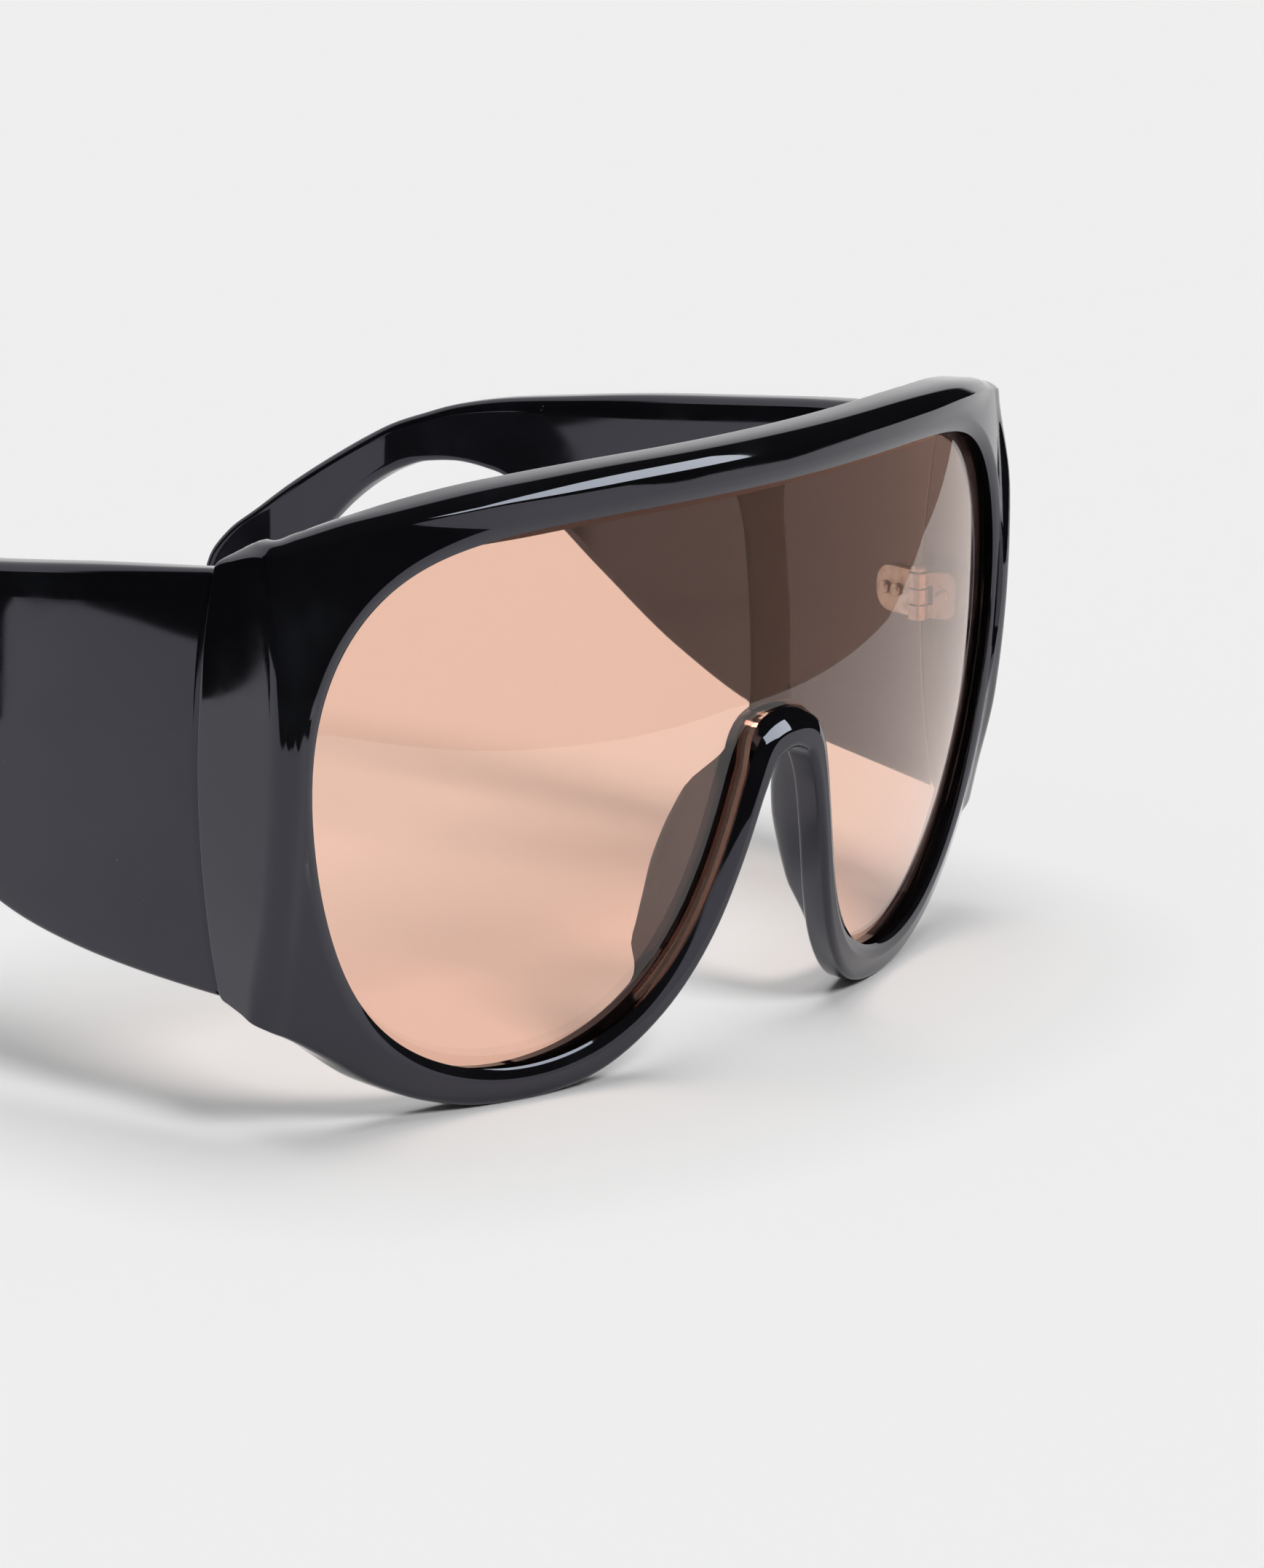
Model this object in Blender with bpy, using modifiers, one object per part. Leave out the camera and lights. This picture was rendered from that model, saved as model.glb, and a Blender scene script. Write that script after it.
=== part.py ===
import math

import bmesh
import bpy
from mathutils import Matrix, Vector

# Driving sizes, in metres; the base of the object is at z = 0 and the lens faces -Y
front_half_width = 0.0723
lens_half_height = 0.0344
floor_drop = 0.039
middle_back = 0.0785
touch_gap = 0.0003

# Curve of the face, seen from above and from the side
face_radius = 0.1307
face_tall_radius = 0.144
face_lean_share = 0.07
face_twist = 0.00084
twist_half_width = 0.06
twist_half_height = 0.03
corner_lead = 0.0018
corner_lead_run = 0.0049
corner_round = 0.0024
corner_high_round = 0.006
corner_low_round = 0.0038
slope_probe = 0.0001
corner_high_from = 0.02
corner_high_to = 0.033
corner_low_from = 0.008
corner_low_to = 0.02

# Wing, seam and temple plan, set out from the corner where the face ends
wing_long = 0.01358
seam_middle_y = face_radius - math.sqrt(face_radius ** 2 - front_half_width ** 2) + wing_long
seam_bow = 0.0027
seam_bow_height = 0.026
seam_centre_z = 0.0035
seam_mitre = 0.005
temple_thick = 0.0041
plan_ahead = 0.00255
temple_plan_y = seam_middle_y - plan_ahead
temple_inset = 0.0062
temple_plan_x = front_half_width - temple_inset
temple_plan_run = 0.1
temple_spread = 0.0204
temple_curl = 0.026
wing_share = 0.1895
wing_run = front_half_width * wing_share
corner_least_share = 0.14
turn_before = 0.0143
turn_past = 0.0107
turn_slant_share = 0.25

# Section of the rim round the lens
bead_deep = 0.0009
bead_width = 0.0013
brow_tilt_share = 0.24
rim_round = 0.001
seam_round = 0.0004
top_round = 0.0024
top_round_deep = 0.0028
wall_undercut = 0.0014
ledge_overcut = 0.0008
groove_deep = 0.001
lens_edge_deep = 0.0006
lens_set_back = 0.0028
lens_thick = 0.002
lip_thick = 0.0012
lip_reach = 0.0002
brow_lip_drop = 0.0018
brow_deep = 0.0052
lobe_deep = 0.0046
arch_deep = 0.0052

# Nose pads and the rib behind the lens
pad_full = 0.0024
pad_inner_out = 0.0024
pad_back_out = 0.0046
pad_outer_out = 0.0073
pad_corner_share = 0.8
rib_half_width = 0.0042
rib_foot_half_width = 0.0058
rib_head_half_width = 0.0066
rib_thick = 0.0021
rib_top = 0.0372
rib_bottom = 0.0012
rib_steps = 16
rib_foot_tall = 0.008
rib_head_tall = 0.01
rib_end_thin_share = 0.45

# Hinges
pin_inset = 0.00845
pin_ahead = 0.0057
pin_x = front_half_width - pin_inset
pin_y = seam_middle_y - pin_ahead
hinge_low = 0.0020
hinge_high = 0.0084
pin_radius = 0.00045
pin_head_radius = 0.0011
pin_head_tall = 0.0007
knuckle_radius = 0.0013
leaf_thick = 0.001
temple_leaf_turn = math.radians(11.6)
front_leaf_turn = math.radians(-22)
temple_leaf_off = 0.0016
front_leaf_off = 0.0018
temple_leaf_start = 0.0018
temple_leaf_long = 0.0086
front_leaf_start = 0.0018
front_leaf_long = 0.0046
arm_overlap = 0.0004
arm_inset = 0.00006
rivet_radius = 0.0004
rivet_head_radius = 0.00095
rivet_head_tall = 0.00035
rivet_long = 0.0017
temple_rivet_y = (0.0045, 0.0069)
front_rivet_y = (-0.0031,)

# Opening of the front, as shares of the half width and half height
opening_shares = (
    (0.0, 1.0), (0.266, 1.0), (0.571, 1.003), (0.833, 0.887), (0.972, 0.331), (0.873, -0.686),
    (0.62, -1.032), (0.355, -0.997), (0.191, -0.66), (0.113, -0.029), (0.084, 0.145), (0.0, 0.145),
)

# Outer edge of front and wing: share of the way round, width share, height share
outer_shares = (
    (0.0, 0.0, 1.192), (0.055, 0.332, 1.198), (0.11, 0.595, 1.177), (0.165, 0.844, 1.113),
    (0.192, 0.94, 1.073), (0.22, 1.0, 1.045), (0.248, 1.09, 0.994), (0.272, 1.178, 0.912),
    (0.281, 1.1895, 0.87), (0.303, 1.1895, 0.62), (0.33, 1.1895, 0.305), (0.386, 1.1895, -0.349),
    (0.408, 1.1895, -0.6), (0.417, 1.176, -0.64), (0.435, 1.079, -0.666), (0.454, 1.0, -0.69),
    (0.474, 0.941, -0.733), (0.495, 0.863, -0.834), (0.522, 0.768, -0.977), (0.551, 0.671, -1.078),
    (0.58, 0.583, -1.13), (0.606, 0.498, -1.1425), (0.633, 0.418, -1.126), (0.66, 0.339, -1.073),
    (0.716, 0.225, -0.872), (0.771, 0.154, -0.622), (0.826, 0.108, -0.358), (0.881, 0.069, -0.116), (0.935, 0.039, -0.003), (1.0, 0.0, 0.02),
)
steps_between = 2

# How far a nose pad stands behind the lip: share of the way round, depth
pad_depths = (
    (0.0, 0.0), (0.66, 0.0), (0.69, 0.0002), (0.72, 0.0007), (0.745, 0.0015), (0.771, 0.0027),
    (0.798, 0.0039), (0.826, 0.0046), (0.846, 0.0044), (0.866, 0.0034), (0.89, 0.0018),
    (0.92, 0.0006), (0.96, 0.0), (1.0, 0.0),
)

# Upper and lower edge of a temple behind the seam, as depth and height shares
temple_long = 0.125
temple_edge_shares = (
    (0.0, 0.878, 0.0, -0.637), (0.09, 0.84, 0.09, -0.587), (0.245, 0.782, 0.215, -0.49),
    (0.39, 0.738, 0.33, -0.3), (0.49, 0.7, 0.44, -0.02), (0.588, 0.664, 0.53, 0.24),
    (0.646, 0.629, 0.587, 0.347), (0.684, 0.589, 0.64, 0.376), (0.722, 0.543, 0.68, 0.364),
    (0.759, 0.475, 0.721, 0.312), (0.796, 0.394, 0.755, 0.238), (0.833, 0.307, 0.785, 0.148),
    (0.869, 0.214, 0.812, 0.045), (0.905, 0.1, 0.836, -0.045), (0.94, -0.02, 0.857, -0.14),
    (0.964, -0.15, 0.872, -0.27), (0.974, -0.33, 0.888, -0.47), (0.977, -0.58, 0.904, -0.74),
    (0.974, -0.86, 0.921, -0.99), (0.966, -1.04, 0.937, -1.1), (0.956, -1.12, 0.947, -1.135),
)
temple_round = 0.0011
tip_thinner = 0.0019
tip_thin_from = 0.125
tip_thin_to = 0.148
temple_steps_between = 2

# Places on the way round the rim where one form passes into the next, as shares
brow_end_from_share = 0.25
brow_end_to_share = 0.28
brow_tilt_from_share = 0.12
brow_tilt_to_share = 0.235
brow_drop_from_share = 0.1
brow_drop_to_share = 0.22
low_from_share = 0.4
low_to_share = 0.5
arch_from_share = 0.88
arch_to_share = 0.97
ledge_from_share = 0.9
ledge_to_share = 0.98
seam_from_share = 0.8
seam_to_share = 0.98

# Fineness of the meshes and of their joins
merge_gap = 0.000001
mirror_gap = 0.00002
bore_past = 0.001
pin_foot = 0.0003
lens_columns = 44
lens_rows = 6
outline_steps = 160
pin_facets = 20
rivet_facets = 12


def clear_scene():
    for item in list(bpy.data.objects):
        bpy.data.objects.remove(item)


def smooth_share(value, low, high):
    share = min(max((value - low) / (high - low), 0), 1)
    return share * share * (3 - 2 * share)


def blend(first, second, share):
    return first + (second - first) * share


def slopes_of(knots, values):
    runs = [b - a for a, b in zip(knots, knots[1:])]
    rises = [(b - a) / run for a, b, run in zip(values, values[1:], runs)]
    slopes = [0]
    for before, after in zip(rises, rises[1:]):
        same_way = before * after > 0
        slopes.append(2 * before * after / (before + after) if same_way else 0)
    return slopes + [0]


def follow(table, column, place):
    knots = [row[0] for row in table]
    values = [row[column] for row in table]
    slopes = slopes_of(knots, values)
    index = 0
    while index < len(knots) - 2 and place > knots[index + 1]:
        index += 1
    run = knots[index + 1] - knots[index]
    share = (place - knots[index]) / run
    square = share * share
    cube = square * share
    start = (2 * cube - 3 * square + 1) * values[index]
    start_slope = (cube - 2 * square + share) * run * slopes[index]
    end = (3 * square - 2 * cube) * values[index + 1]
    end_slope = (cube - square) * run * slopes[index + 1]
    return start + start_slope + end + end_slope


def opening_point(place):
    count = len(opening_shares)
    spans = count - 3
    knots = [0] * 3 + list(range(spans + 1)) + [spans] * 3
    value = min(place * spans, spans * (1 - 1e-9))
    span = int(value) + 3
    points = [Vector(opening_shares[span - 3 + k]) for k in range(4)]
    for level in range(1, 4):
        for k in range(3, level - 1, -1):
            low = knots[span - 3 + k]
            high = knots[span + 1 + k - level]
            share = (value - low) / (high - low)
            points[k] = points[k - 1].lerp(points[k], share)
    return Vector((points[3].x * front_half_width, points[3].y * lens_half_height))


def opening_outward(place):
    step = 0.002
    before = opening_point(max(place - step, 0))
    after = opening_point(min(place + step, 1))
    along = after - before
    if place in (0, 1):
        along = Vector((1, 0)) if place == 0 else Vector((-1, 0))
    along.normalize()
    return Vector((-along.y, along.x))


def face_y(x, z):
    wide = face_radius - math.sqrt(face_radius ** 2 - x ** 2)
    tall = z * z / (2 * face_tall_radius)
    twist = face_twist * (x / twist_half_width) ** 2 * (z / twist_half_height)
    return wide - face_lean_share * z + tall - twist


def seam_outer_y(z):
    return seam_middle_y - seam_bow * ((z - seam_centre_z) / seam_bow_height) ** 2


def temple_inner_x(y):
    run = (y - temple_plan_y) / temple_plan_run
    return temple_plan_x + temple_spread * run - temple_curl * run * run


def corner_y(z):
    return face_y(front_half_width, z) - corner_lead


def skin_point(s, z):
    if s <= front_half_width:
        lead = corner_lead * smooth_share(s, front_half_width - corner_lead_run, front_half_width)
        return Vector((s, face_y(s, z) - lead))
    share = (s - front_half_width) / wing_run
    end_y = seam_outer_y(z)
    end = Vector((temple_inner_x(end_y) + temple_thick, end_y))
    return Vector((front_half_width, corner_y(z))).lerp(end, share)


def corner_width(z):
    high = smooth_share(z, corner_high_from, corner_high_to)
    low = smooth_share(-z, corner_low_from, corner_low_to)
    return blend(blend(corner_round, corner_high_round, high), corner_low_round, low)


def rounded_skin(s, z):
    # The skin with its upright corner rounded: a cubic that leaves and meets the skin in its own direction
    wide = corner_width(z)
    if abs(s - front_half_width) >= wide:
        return skin_point(s, z)
    first = front_half_width - wide
    last = front_half_width + wide
    start = skin_point(first, z)
    end = skin_point(last, z)
    start_way = (start - skin_point(first - slope_probe, z)) / slope_probe * 2 * wide
    end_way = (skin_point(last + slope_probe, z) - end) / slope_probe * 2 * wide
    share = (s - first) / (2 * wide)
    square = share * share
    cube = square * share
    return (start * (2 * cube - 3 * square + 1) + start_way * (cube - 2 * square + share)
            + end * (3 * square - 2 * cube) + end_way * (cube - square))


def wing_point(s, z, deep):
    # A point of the front or wing: s runs along the outer skin, deep goes into the plastic
    skin = rounded_skin(s, z)
    turn = smooth_share(s, front_half_width - turn_before, front_half_width + turn_past) * math.pi / 2
    slant = 1 + turn_slant_share * math.sin(2 * turn)
    inward = Vector((-math.sin(turn), math.cos(turn))) * slant
    plan = skin + inward * deep
    share = max(s - front_half_width, 0) / wing_run
    plan.y -= seam_mitre * (deep / temple_thick) * share * share
    if share > 0:
        end_y = seam_outer_y(z) - seam_mitre * deep / temple_thick
        flush = temple_inner_x(end_y) + temple_thick - deep
        plan.x = blend(plan.x, flush, share * share)
    return Vector((plan.x, plan.y, z))


def face_point(flat, deep):
    return Vector((flat.x, face_y(flat.x, flat.y) + deep, flat.y))


def wall_shift(place):
    return blend(wall_undercut, -ledge_overcut, smooth_share(place, ledge_from_share, ledge_to_share))


def rim_section(place):
    # One closed section of the front, from the edge of the opening outwards and back again
    edge = opening_point(place)
    outward = opening_outward(place)
    outer = Vector((follow(outer_shares, 1, place) * front_half_width,
                    follow(outer_shares, 2, place) * lens_half_height))
    across = edge - outer
    across.normalize()
    wing = smooth_share(outer.x, front_half_width, front_half_width + wing_run)
    arch = smooth_share(place, arch_from_share, arch_to_share)
    low = smooth_share(place, low_from_share, low_to_share)
    deep = blend(blend(brow_deep, lobe_deep, low), temple_thick, wing)
    deep = blend(deep, arch_deep, arch)
    lens_back = lens_set_back + lens_thick + touch_gap
    lip_back = lens_back + lip_thick

    points = []
    points.append(face_point(edge, bead_deep))
    points.append(face_point(edge + outward * bead_width * 0.1, bead_deep * 0.72))
    points.append(face_point(edge + outward * bead_width, 0))

    seam = smooth_share(outer.x, front_half_width + wing_run * seam_from_share,
                        front_half_width + wing_run * seam_to_share)
    top = 1 - smooth_share(place, brow_end_from_share, brow_end_to_share)
    curve = blend(rim_round, seam_round, seam)
    across_curve = blend(curve, top_round, top)
    deep_curve = blend(curve, top_round_deep, top)
    near = edge + outward * bead_width
    far = outer + across * across_curve
    tilt = brow_tilt_share * (1 - smooth_share(place, brow_tilt_from_share, brow_tilt_to_share))
    wide = corner_width(outer.y)
    corner_start = max(front_half_width - wide, blend(near.x, far.x, corner_least_share))
    corner_end = min(front_half_width + wide, blend(near.x, far.x, 1 - corner_least_share))
    stops = [blend(near.x, corner_start, share) for share in (1 / 3, 2 / 3)]
    stops += [blend(corner_start, corner_end, share) for share in (0, 1 / 3, 2 / 3, 1)]
    stops += [blend(corner_end, far.x, share) for share in (1 / 3, 2 / 3)]
    past = smooth_share(far.x, front_half_width - wide, front_half_width)
    for number, stop in enumerate(stops):
        even = (number + 1) / (len(stops) + 1)
        share = blend(even, (stop - near.x) / max(far.x - near.x, bead_width), past)
        spot = near.lerp(far, share)
        points.append(wing_point(spot.x, spot.y, 0))
        points[-1].y -= tilt * (spot - near).length
    for inset, depth in ((across_curve, 0), (across_curve * 0.29, deep_curve * 0.29), (0, deep_curve),
                         (0, deep - curve), (curve * 0.29, deep - curve * 0.29), (curve, deep)):
        spot = outer + across * inset
        points.append(wing_point(spot.x, spot.y, depth))
        points[-1].y -= tilt * (spot - near).length * max(1 - depth / (deep - curve), 0)

    drop = brow_lip_drop * (1 - smooth_share(place, brow_drop_from_share, brow_drop_to_share))
    rise = arch * ledge_overcut * 2
    lip = face_point(edge + outward * (lip_reach - drop - rise), lip_back)
    crease = points[-1]
    stand = follow(pad_depths, 1, place)
    pad = smooth_share(stand, 0, pad_full)
    for share, out, depth in ((0.2, pad_inner_out * 0.6, lip_back + stand * 0.35),
                              (0.4, pad_inner_out, lip_back + stand * pad_corner_share),
                              (0.6, pad_back_out, lip_back + stand),
                              (0.8, pad_outer_out, lip_back + stand * pad_corner_share)):
        plain = crease.lerp(lip, share)
        padded = face_point(outer + across * out, depth)
        points.append(plain.lerp(padded, pad))
    points.append(lip)
    points.append(face_point(edge + outward * (lip_reach - drop - rise), lens_back))
    wall = wall_shift(place)
    bottom = wall + groove_deep
    points.append(face_point(edge + outward * bottom, lens_back))
    points.append(face_point(edge + outward * bottom, lens_set_back - touch_gap))
    points.append(face_point(edge + outward * wall, lens_set_back - touch_gap))
    if place in (0, 1):
        for point in points:
            point.x = 0
    return points


def rim_places():
    places = []
    for before, after in zip(outer_shares, outer_shares[1:]):
        for step in range(steps_between):
            places.append(blend(before[0], after[0], step / steps_between))
    return places + [1]


def put(local):
    z = local.z + floor_drop
    return Vector((local.x, local.y - middle_back, max(z, 0)))


def make_object(name, points, faces, collection):
    mesh = bpy.data.meshes.new(name)
    mesh.from_pydata([put(point) for point in points], [], faces)
    item = bpy.data.objects.new(name, mesh)
    collection.objects.link(item)
    shape = bmesh.new()
    shape.from_mesh(mesh)
    bmesh.ops.remove_doubles(shape, verts=shape.verts, dist=merge_gap)
    bmesh.ops.dissolve_degenerate(shape, edges=shape.edges, dist=merge_gap)
    bmesh.ops.recalc_face_normals(shape, faces=shape.faces)
    shape.to_mesh(mesh)
    shape.free()
    return item


def loft(sections, closed_section, cap):
    points = [point for section in sections for point in section]
    size = len(sections[0])
    faces = []
    for row in range(len(sections) - 1):
        for k in range(size if closed_section else size - 1):
            after = (k + 1) % size
            faces.append((row * size + k, row * size + after, (row + 1) * size + after, (row + 1) * size + k))
    if cap:
        half = size // 2
        for start in (0, (len(sections) - 1) * size):
            for k in range(half - 1):
                faces.append((start + k, start + k + 1, start + size - 2 - k, start + size - 1 - k))
    return points, faces


def use_smooth(item):
    bpy.ops.object.select_all(action="DESELECT")
    item.select_set(True)
    bpy.context.view_layer.objects.active = item
    bpy.ops.object.shade_smooth()
    item.data.set_sharp_from_angle(angle=math.radians(38))


def add_boolean(item, tool, operation):
    modifier = item.modifiers.new(operation.lower(), "BOOLEAN")
    modifier.operation = operation
    modifier.solver = "EXACT"
    modifier.object = tool


def make_front(collection, tools):
    points, faces = loft([rim_section(place) for place in rim_places()], True, False)
    front = make_object("front_frame", points, faces, collection)
    mirror = front.modifiers.new("mirror", "MIRROR")
    mirror.use_clip = True
    mirror.merge_threshold = mirror_gap
    add_boolean(front, make_rib(tools), "UNION")
    return front


def make_rib(tools):
    # The upright rib behind the middle of the lens, wider where it joins the brow and the bridge
    near = lens_set_back + lens_thick + touch_gap + touch_gap / 3
    rows = []
    for step in range(rib_steps + 1):
        z = blend(rib_bottom, rib_top, step / rib_steps)
        foot = max(1 - (z - rib_bottom) / rib_foot_tall, 0) ** 2
        head = max(1 - (rib_top - z) / rib_head_tall, 0) ** 2
        half = rib_half_width + (rib_foot_half_width - rib_half_width) * foot
        half += (rib_head_half_width - rib_half_width) * head
        thick = rib_thick * (1 - rib_end_thin_share * max(foot, head))
        rows.append((z, half, thick))
    sections = []
    for z, half, thick in rows:
        section = []
        for x_share, deep_share in ((-1, 0), (-1, 0.55), (-0.93, 0.86), (-0.75, 1), (-0.3, 1), (0.3, 1),
                                    (0.75, 1), (0.93, 0.86), (1, 0.55), (1, 0), (0.4, 0), (-0.4, 0)):
            x = x_share * half
            section.append(Vector((x, face_y(x, z) + near + thick * deep_share, z)))
        sections.append(section)
    points, faces = loft(sections, True, False)
    size = len(sections[0])
    faces.append(tuple(range(size)))
    faces.append(tuple(range((len(sections) - 1) * size, len(sections) * size)))
    return make_object("rib_tool", points, faces, tools)


def lens_outline():
    outline = []
    for step in range(outline_steps + 1):
        place = step / outline_steps
        shift = wall_shift(place) + lens_edge_deep
        spot = opening_point(place) + opening_outward(place) * shift
        if place in (0, 1):
            spot.x = 0
        outline.append(spot)
    return outline


def height_at(side, x):
    for first, second in zip(side, side[1:]):
        if min(first.x, second.x) <= x <= max(first.x, second.x):
            share = (x - first.x) / (second.x - first.x) if second.x != first.x else 0
            return blend(first.y, second.y, share)
    return side[-1].y if x > side[0].x else side[0].y


def even_widths(side, count):
    # Widths at even steps along one side of the outline, from the middle outwards
    lengths = [0]
    for first, second in zip(side, side[1:]):
        lengths.append(lengths[-1] + (second - first).length)
    widths = []
    index = 0
    for step in range(count + 1):
        length = lengths[-1] * min(step / count, 0.9995)
        while lengths[index + 1] < length:
            index += 1
        share = (length - lengths[index]) / (lengths[index + 1] - lengths[index])
        widths.append(blend(side[index].x, side[index + 1].x, share))
    return widths


def make_lens(collection):
    outline = lens_outline()
    widest = max(range(len(outline)), key=lambda k: outline[k].x)
    top = outline[:widest + 1]
    bottom = outline[widest:][::-1]
    widths = even_widths(bottom, lens_columns)
    spots = []
    for column in range(-lens_columns, lens_columns + 1):
        x = math.copysign(widths[abs(column)], column)
        high = height_at(top, abs(x))
        low = height_at(bottom, abs(x))
        for row in range(lens_rows + 1):
            spots.append(Vector((x, blend(low, high, row / lens_rows))))
    points = []
    for depth in (lens_set_back, lens_set_back + lens_thick):
        points += [Vector((spot.x, face_y(spot.x, spot.y) + depth, spot.y)) for spot in spots]
    size = lens_rows + 1
    total = len(spots)
    faces = []
    for column in range(2 * lens_columns):
        for row in range(lens_rows):
            corner = column * size + row
            quad = (corner, corner + size, corner + size + 1, corner + 1)
            faces.append(quad)
            faces.append(tuple(total + k for k in quad[::-1]))
        for row in (0, lens_rows):
            first = column * size + row
            faces.append((first, first + size, first + size + total, first + total))
    for column in (0, 2 * lens_columns):
        for row in range(lens_rows):
            first = column * size + row
            faces.append((first, first + 1, first + 1 + total, first + total))
    return make_object("lens", points, faces, collection)


def temple_section(upper, lower, mitre):
    # Rounded bar between the upper and the lower edge, outer side first
    along = lower - upper
    tall = along.length
    along.normalize()
    curve = min(temple_round, tall * 0.3)
    outer_side = []
    inner_side = []
    for down, deep in ((0, curve), (curve * 0.3, curve * 0.3), (curve, 0), (tall * 0.35, 0),
                       (tall * 0.65, 0), (tall - curve, 0), (tall - curve * 0.3, curve * 0.3),
                       (tall, curve)):
        flat = upper + along * down
        thick = temple_thick - tip_thinner * smooth_share(flat.x, tip_thin_from, tip_thin_to)
        for side, depth in ((outer_side, deep), (inner_side, thick - deep)):
            y = flat.x
            if mitre > 0:
                y += (seam_outer_y(flat.y) + touch_gap - seam_middle_y
                      - seam_mitre * depth / temple_thick) * mitre
            x = temple_inner_x(y) + temple_thick - depth
            side.append(Vector((x, y, flat.y)))
    return outer_side + inner_side[::-1]


def make_temple(name, side, collection):
    table = [(index,) + row for index, row in enumerate(temple_edge_shares)]
    start = seam_middle_y
    sections = []
    total = len(table) - 1
    for step in range(total * temple_steps_between + 1):
        place = step / temple_steps_between
        upper = Vector((start + follow(table, 1, place) * temple_long,
                        follow(table, 2, place) * lens_half_height))
        lower = Vector((start + follow(table, 3, place) * temple_long,
                        follow(table, 4, place) * lens_half_height))
        mitre = 1 - smooth_share(place, 0, 1.5)
        sections.append(temple_section(upper, lower, mitre))
    points, faces = loft(sections, True, True)
    for point in points:
        point.x *= side
    return make_object(name, points, faces, collection)


def leaf_frame(side, turn):
    # Local frame on the hinge pin: x outwards across the leaf, y along it, z up
    spin = Matrix.Rotation(-turn, 4, "Z")
    move = Matrix.Translation(Vector((pin_x, pin_y - middle_back, floor_drop)))
    flip = Matrix.Diagonal(Vector((side, 1, 1, 1)))
    return flip @ move @ spin


def prism(name, outline, x_low, x_high, frame, collection):
    count = len(outline)
    points = [Vector((x, y, z)) for x in (x_low, x_high) for y, z in outline]
    faces = [tuple(range(count)), tuple(range(2 * count - 1, count - 1, -1))]
    for k in range(count):
        after = (k + 1) % count
        faces.append((k, after, count + after, count + k))
    return local_object(name, points, faces, frame, collection)


def turned(name, profile, axis, centre, frame, collection, around=pin_facets):
    # Closed turned solid: profile is (radius, height) from one end of the axis to the other
    points = []
    faces = []
    for radius, height in profile:
        for step in range(around):
            angle = 2 * math.pi * step / around
            a = radius * math.cos(angle)
            b = radius * math.sin(angle)
            spot = Vector((a, b, height)) if axis == "z" else Vector((height, a, b))
            points.append(centre + spot)
    for row in range(len(profile) - 1):
        for step in range(around):
            after = (step + 1) % around
            low = row * around
            faces.append((low + step, low + after, low + around + after, low + around + step))
    faces.append(tuple(range(around)))
    faces.append(tuple(range((len(profile) - 1) * around, len(profile) * around)))
    return local_object(name, points, faces, frame, collection)


def local_object(name, points, faces, frame, collection):
    mesh = bpy.data.meshes.new(name)
    mesh.from_pydata([frame @ point for point in points], [], faces)
    shape = bmesh.new()
    shape.from_mesh(mesh)
    bmesh.ops.recalc_face_normals(shape, faces=shape.faces)
    shape.to_mesh(mesh)
    shape.free()
    item = bpy.data.objects.new(name, mesh)
    collection.objects.link(item)
    return item


def leaf_outline(start, end, low, high):
    # Plate with its far end rounded
    radius = min((high - low) * 0.4, abs(end - start) * 0.45)
    way = 1 if end > start else -1
    outline = [(start, low)]
    for centre_z, first in ((low + radius, -90), (high - radius, 0)):
        for step in range(5):
            angle = math.radians(first + 90 * step / 4)
            outline.append((end - way * radius + way * radius * math.cos(angle),
                            centre_z + radius * math.sin(angle)))
    outline.append((start, high))
    return outline


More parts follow.
